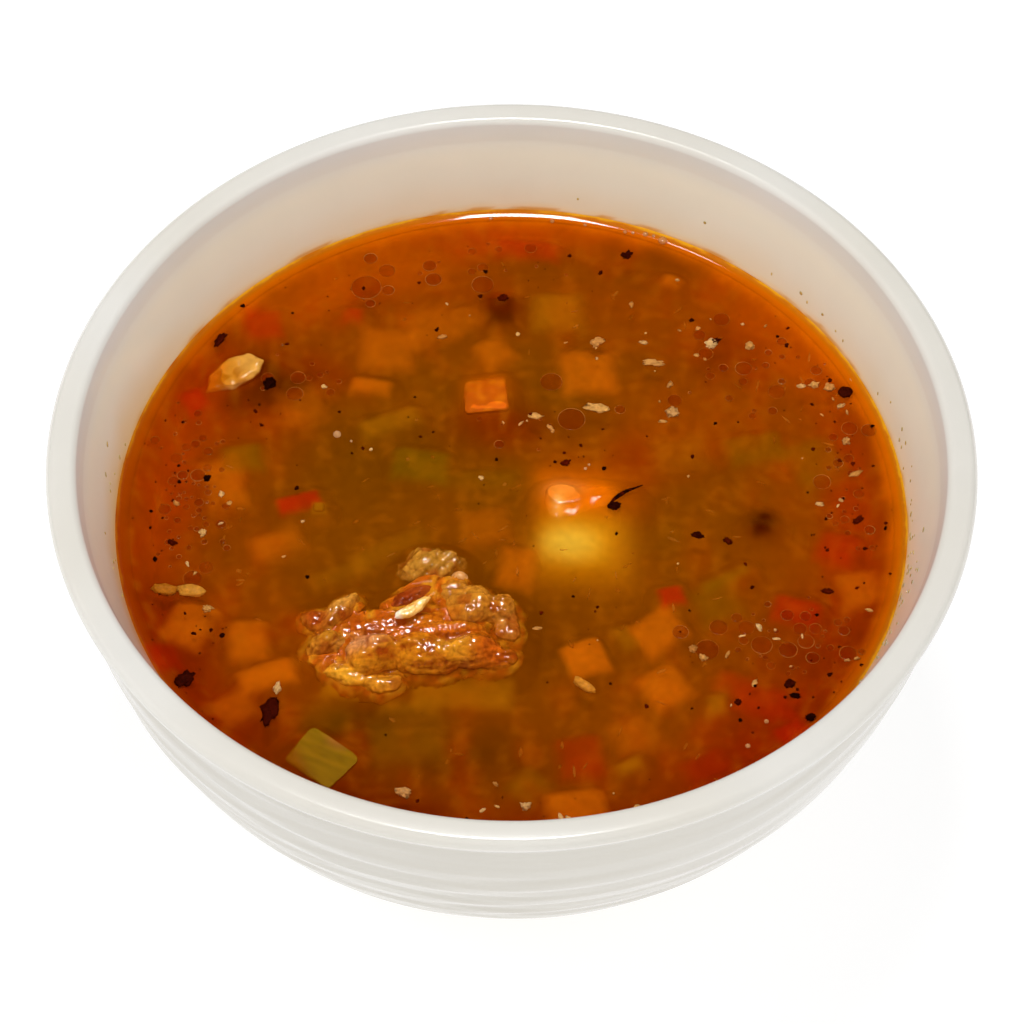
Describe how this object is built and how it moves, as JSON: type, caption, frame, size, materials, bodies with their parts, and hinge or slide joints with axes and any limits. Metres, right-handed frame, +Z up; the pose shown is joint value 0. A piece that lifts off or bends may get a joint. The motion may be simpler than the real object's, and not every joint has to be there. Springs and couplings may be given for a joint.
{
  "type": "bowl of rice and meat soup",
  "caption": "Round white glazed bowl filled with brown broth, stewed meat, diced vegetables, rice grains and pepper flakes.",
  "frame": {"origin": "middle of the bowl's outline at the foot ring's resting face", "axes": "+Z up out of the bowl, +Y away from the side that faces the eater, +X to the right"},
  "size_m": [0.15, 0.15, 0.07],
  "materials": {
    "glaze": "glossy white glaze over stoneware, faintly warm, with soft throwing ribs outside",
    "broth": "wet cloudy brown broth with red-orange oil round its edge",
    "meat": "stewed meat, fibrous and wet, tan to orange-brown",
    "lean_meat": "dark red-brown lean meat, wet",
    "fat": "soft cream-coloured fat, wet",
    "potato": "boiled potato, yellow, soft edges",
    "carrot": "boiled carrot, orange",
    "celery": "boiled celery, olive green",
    "onion": "boiled onion, pale and slightly see-through"
  },
  "bodies": {
    "root": {"bowl": "glaze", "soup": "broth", "meat_chunk": "meat", "meat_lobe": "meat", "meat_nugget": "meat", "meat_shred": "lean_meat", "meat_back": "meat", "fat_sliver": "fat", "fat_bead": "fat", "potato_chunk": "potato", "carrot_dice": "carrot", "celery_dice": "celery", "onion_piece": "onion"}
  },
  "joints": []
}
